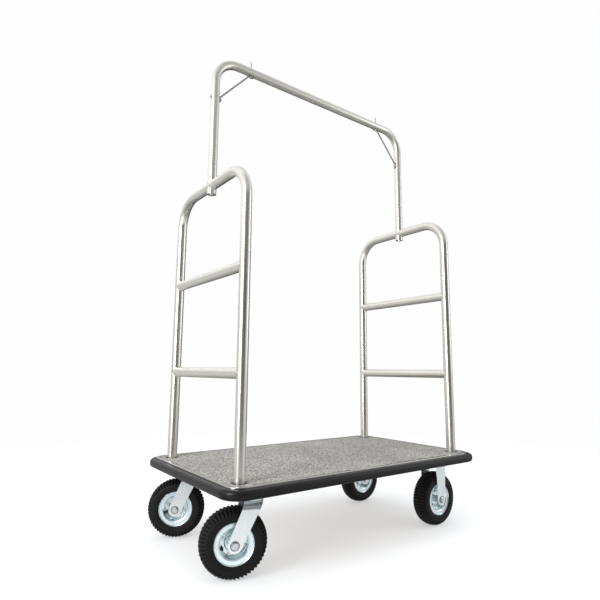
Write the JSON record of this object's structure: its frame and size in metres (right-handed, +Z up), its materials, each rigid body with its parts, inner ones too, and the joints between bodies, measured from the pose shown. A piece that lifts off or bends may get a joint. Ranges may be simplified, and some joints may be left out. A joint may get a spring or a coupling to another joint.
{
  "type": "hotel luggage cart",
  "caption": "Hotel luggage cart with a carpeted bumper-edged deck, two tube end hoops with cross bars, an arched garment rail and pneumatic casters.",
  "frame": {"origin": "on the floor under the middle of the deck", "axes": "X along the cart from the swivel end to the rigid end, Y across it, Z up"},
  "size_m": [1.2377, 0.72, 1.951],
  "materials": {
    "stainless_tube": "satin brushed",
    "bright_trim": "polished",
    "carpet": "short looped pile",
    "plywood": "sealed",
    "black_frame": "satin",
    "bumper_rubber": "semi-gloss",
    "plated_bolt": "zinc plated",
    "zinc_plate": "bright zinc plated",
    "zinc_rim": "bright zinc plated",
    "tyre_rubber": "matt",
    "valve_rubber": "matt"
  },
  "bodies": {
    "cart": {"deck_board": "plywood", "deck_carpet": "carpet", "edge_trim": "bright_trim", "edge_bumper": "bumper_rubber", "side_rails": "black_frame", "cross_members": "black_frame", "post_washers": "plated_bolt", "post_bolts": "plated_bolt", "tube_plugs": "plated_bolt", "left_hoop": "stainless_tube", "right_hoop": "stainless_tube", "left_lower_bar": "stainless_tube", "left_upper_bar": "stainless_tube", "right_lower_bar": "stainless_tube", "right_upper_bar": "stainless_tube", "garment_rail": "stainless_tube", "rail_stubs": "stainless_tube", "stub_caps": "stainless_tube", "stub_bolts": "plated_bolt", "left_brace": "stainless_tube", "right_brace": "stainless_tube", "brace_bolts": "plated_bolt", "brace_nuts": "plated_bolt", "stop_pins": "stainless_tube", "caster_bolts": "plated_bolt", "caster_nuts": "plated_bolt", "swivel_plates": "zinc_plate", "bearing_balls": "plated_bolt", "king_pins": "plated_bolt", "king_pin_nuts": "plated_bolt", "right_front_fork": "zinc_plate", "right_back_fork": "zinc_plate", "rigid_axles": "plated_bolt", "rigid_axle_nuts": "plated_bolt"},
    "left_front_swivel": {"left_front_fork": "zinc_plate", "left_front_axle": "plated_bolt", "left_front_axle_nut": "plated_bolt"},
    "left_back_swivel": {"left_back_fork": "zinc_plate", "left_back_axle": "plated_bolt", "left_back_axle_nut": "plated_bolt"},
    "left_front_wheel": {"left_front_tyre": "tyre_rubber", "left_front_rim": "zinc_rim", "left_front_hub": "plated_bolt", "left_front_rim_bolts": "plated_bolt", "left_front_valve": "valve_rubber"},
    "left_back_wheel": {"left_back_tyre": "tyre_rubber", "left_back_rim": "zinc_rim", "left_back_hub": "plated_bolt", "left_back_rim_bolts": "plated_bolt", "left_back_valve": "valve_rubber"},
    "right_front_wheel": {"right_front_tyre": "tyre_rubber", "right_front_rim": "zinc_rim", "right_front_hub": "plated_bolt", "right_front_rim_bolts": "plated_bolt", "right_front_valve": "valve_rubber"},
    "right_back_wheel": {"right_back_tyre": "tyre_rubber", "right_back_rim": "zinc_rim", "right_back_hub": "plated_bolt", "right_back_rim_bolts": "plated_bolt", "right_back_valve": "valve_rubber"}
  },
  "joints": [
    {"name": "left_front_swivel_turn", "type": "hinge", "parent": "cart", "child": "left_front_swivel", "pos_m": [-0.458, -0.232, 0.242], "axis": [0, 0, 1], "continuous": true},
    {"name": "left_front_wheel_spin", "type": "hinge", "parent": "left_front_swivel", "child": "left_front_wheel", "pos_m": [-0.51588, -0.20978, 0.11], "axis": [0.3584, 0.9336, 0], "continuous": true},
    {"name": "left_back_swivel_turn", "type": "hinge", "parent": "cart", "child": "left_back_swivel", "pos_m": [-0.458, 0.232, 0.242], "axis": [0, 0, 1], "continuous": true},
    {"name": "left_back_wheel_spin", "type": "hinge", "parent": "left_back_swivel", "child": "left_back_wheel", "pos_m": [-0.51114, 0.26393, 0.11], "axis": [0.515, 0.8572, 0], "continuous": true},
    {"name": "right_front_wheel_spin", "type": "hinge", "parent": "cart", "child": "right_front_wheel", "pos_m": [0.458, -0.232, 0.11], "axis": [0, 1, 0], "continuous": true},
    {"name": "right_back_wheel_spin", "type": "hinge", "parent": "cart", "child": "right_back_wheel", "pos_m": [0.458, 0.232, 0.11], "axis": [0, 1, 0], "continuous": true}
  ]
}
